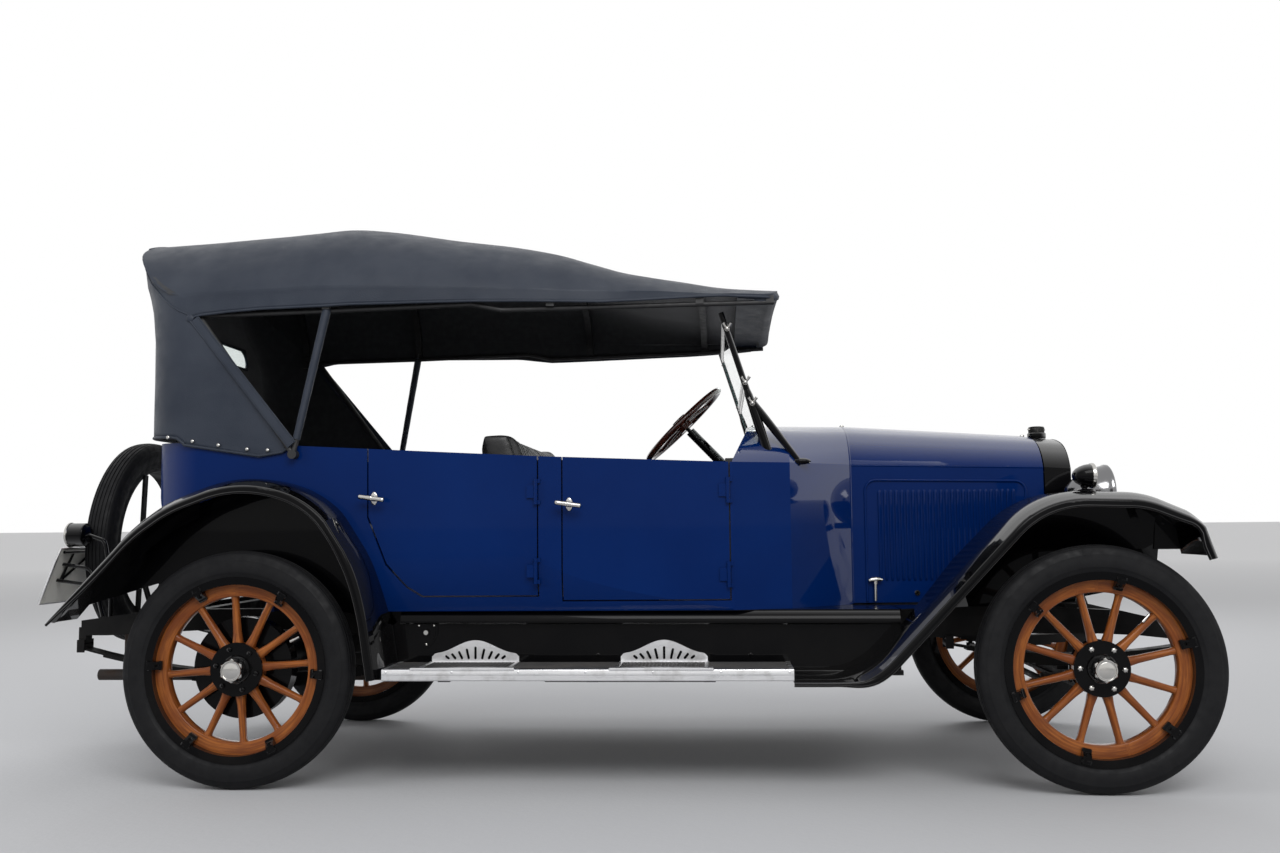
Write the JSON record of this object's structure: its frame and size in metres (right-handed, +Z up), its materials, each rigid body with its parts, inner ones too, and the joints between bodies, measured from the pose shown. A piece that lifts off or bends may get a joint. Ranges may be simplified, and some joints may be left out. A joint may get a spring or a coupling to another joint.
{
  "type": "touring car",
  "caption": "Open four-door touring car with folding cloth top, wooden spoked wheels, running boards and a rear spare; wheels roll and steer, doors and hood open.",
  "frame": {"origin": "on the ground under the middle of the car's length and width", "axes": "+X forward, +Y to the car's left, +Z up"},
  "size_m": [4.219, 1.66, 2.0798],
  "materials": {
    "chassis": "satin",
    "engine_iron": "rough",
    "pipe_steel": "dull",
    "black_enamel": "gloss",
    "body_blue": "gloss",
    "floorboards": "matt",
    "dash_wood": "varnished",
    "window_glass": "polished",
    "board_aluminium": "satin",
    "nickel": "polished",
    "plate_white": "satin",
    "tyre": "matt",
    "wheel_wood": "varnished",
    "wheel_iron": "gloss",
    "steering_wood": "varnished",
    "top_cloth": "leather-grained",
    "seat_leather": "soft gloss"
  },
  "bodies": {
    "car": {"frame": "chassis", "front_axle": "chassis", "rear_axle": "chassis", "leaf_springs": "chassis", "engine_block": "engine_iron", "exhaust": "pipe_steel", "radiator": "black_enamel", "cowl": "body_blue", "body_tub": "body_blue", "floor": "floorboards", "dashboard": "dash_wood", "windshield_frame": "black_enamel", "windshield_glass": "window_glass", "steering_column": "black_enamel", "front_fenders": "black_enamel", "rear_fenders": "black_enamel", "running_boards": "board_aluminium", "aprons": "black_enamel", "headlamps": "nickel", "side_lamps": "nickel", "tail_lamp": "black_enamel", "number_plate": "plate_white", "spare_tyre": "tyre", "spare_carrier": "chassis", "top_fabric": "top_cloth", "top_frame": "black_enamel", "front_seat": "seat_leather", "rear_seat": "seat_leather", "controls": "black_enamel"},
    "knuckle_left": {"knuckle_left": "chassis"},
    "knuckle_right": {"knuckle_right": "chassis"},
    "wheel_front_left": {"tyre_front_left": "tyre", "spokes_front_left": "wheel_wood", "hub_front_left": "wheel_iron"},
    "wheel_front_right": {"tyre_front_right": "tyre", "spokes_front_right": "wheel_wood", "hub_front_right": "wheel_iron"},
    "wheel_rear_left": {"tyre_rear_left": "tyre", "spokes_rear_left": "wheel_wood", "hub_rear_left": "wheel_iron"},
    "wheel_rear_right": {"tyre_rear_right": "tyre", "spokes_rear_right": "wheel_wood", "hub_rear_right": "wheel_iron"},
    "tie_rod": {"tie_rod": "chassis"},
    "steering_wheel": {"steering_wheel": "steering_wood"},
    "pitman_arm": {"pitman_arm": "chassis"},
    "drag_link": {"drag_link": "chassis"},
    "door_front_left": {"door_front_left": "body_blue"},
    "door_front_right": {"door_front_right": "body_blue"},
    "door_rear_left": {"door_rear_left": "body_blue"},
    "door_rear_right": {"door_rear_right": "body_blue"},
    "hood_top_left": {"hood_top_left": "body_blue"},
    "hood_top_right": {"hood_top_right": "body_blue"},
    "hood_side_left": {"hood_side_left": "body_blue"},
    "hood_side_right": {"hood_side_right": "body_blue"}
  },
  "joints": [
    {"name": "kingpin_right", "type": "hinge", "parent": "car", "child": "knuckle_right", "pos_m": [1.666, -0.61, 0.4065], "axis": [0, 0, 1], "range_deg": [-30, 30]},
    {"name": "kingpin_left", "type": "hinge", "parent": "car", "child": "knuckle_left", "pos_m": [1.666, 0.61, 0.4065], "axis": [0, 0, 1], "range_deg": [-30, 30]},
    {"name": "tie_rod_pin", "type": "hinge", "parent": "knuckle_right", "child": "tie_rod", "pos_m": [1.516, -0.61, 0.3505], "axis": [0, 0, 1], "range_deg": [-30, 30]},
    {"name": "steering_wheel_turn", "type": "hinge", "parent": "car", "child": "steering_wheel", "pos_m": [0.27, 0.312, 1.318], "axis": [-0.6947, 0, 0.7193], "range_deg": [-360, 360]},
    {"name": "pitman_arm_swing", "type": "hinge", "parent": "car", "child": "pitman_arm", "pos_m": [1, 0.386, 0.56], "axis": [0, 1, 0], "range_deg": [-31, 31]},
    {"name": "drag_link_pin", "type": "hinge", "parent": "pitman_arm", "child": "drag_link", "pos_m": [1, 0.425, 0.38], "axis": [0, 1, 0], "range_deg": [-31, 31]},
    {"name": "wheel_front_left_roll", "type": "hinge", "parent": "knuckle_left", "child": "wheel_front_left", "pos_m": [1.666, 0.71, 0.4065], "axis": [0, 1, 0], "continuous": true},
    {"name": "wheel_front_right_roll", "type": "hinge", "parent": "knuckle_right", "child": "wheel_front_right", "pos_m": [1.666, -0.71, 0.4065], "axis": [0, 1, 0], "continuous": true},
    {"name": "wheel_rear_left_roll", "type": "hinge", "parent": "car", "child": "wheel_rear_left", "pos_m": [-1.25, 0.71, 0.4065], "axis": [0, 1, 0], "continuous": true},
    {"name": "wheel_rear_right_roll", "type": "hinge", "parent": "car", "child": "wheel_rear_right", "pos_m": [-1.25, -0.71, 0.4065], "axis": [0, 1, 0], "continuous": true},
    {"name": "door_rear_left_hinge", "type": "hinge", "parent": "car", "child": "door_rear_left", "pos_m": [-0.218, 0.678, 0.88], "axis": [0, 0, -1], "range_deg": [0, 65]},
    {"name": "door_rear_right_hinge", "type": "hinge", "parent": "car", "child": "door_rear_right", "pos_m": [-0.218, -0.678, 0.88], "axis": [0, 0, 1], "range_deg": [0, 65]},
    {"name": "door_front_left_hinge", "type": "hinge", "parent": "car", "child": "door_front_left", "pos_m": [0.45, 0.64036, 0.88], "axis": [0, 0, -1], "range_deg": [0, 65]},
    {"name": "door_front_right_hinge", "type": "hinge", "parent": "car", "child": "door_front_right", "pos_m": [0.45, -0.64036, 0.88], "axis": [0, 0, 1], "range_deg": [0, 65]},
    {"name": "hood_left_hinge", "type": "hinge", "parent": "car", "child": "hood_top_left", "pos_m": [0.907, 0.0123, 1.27], "axis": [0.9977, 0, -0.0672], "range_deg": [0, 55]},
    {"name": "hood_left_fold", "type": "hinge", "parent": "hood_top_left", "child": "hood_side_left", "pos_m": [0.907, 0.35, 1.1035], "axis": [0.9954, -0.0935, -0.0181], "range_deg": [-42, 0]},
    {"name": "hood_right_hinge", "type": "hinge", "parent": "car", "child": "hood_top_right", "pos_m": [0.907, -0.0123, 1.27], "axis": [-0.9977, 0, 0.0672], "range_deg": [0, 55]},
    {"name": "hood_right_fold", "type": "hinge", "parent": "hood_top_right", "child": "hood_side_right", "pos_m": [0.907, -0.35, 1.1035], "axis": [-0.9954, -0.0935, 0.0181], "range_deg": [-42, 0]}
  ],
  "couplings": [
    {"joint": "kingpin_left", "follows": "kingpin_right", "ratio": 1},
    {"joint": "tie_rod_pin", "follows": "kingpin_right", "ratio": -1},
    {"joint": "steering_wheel_turn", "follows": "kingpin_right", "ratio": 12},
    {"joint": "pitman_arm_swing", "follows": "kingpin_right", "ratio": -1.03},
    {"joint": "drag_link_pin", "follows": "kingpin_right", "ratio": 1.03},
    {"joint": "hood_left_fold", "follows": "hood_left_hinge", "ratio": -0.75},
    {"joint": "hood_right_fold", "follows": "hood_right_hinge", "ratio": -0.75}
  ]
}
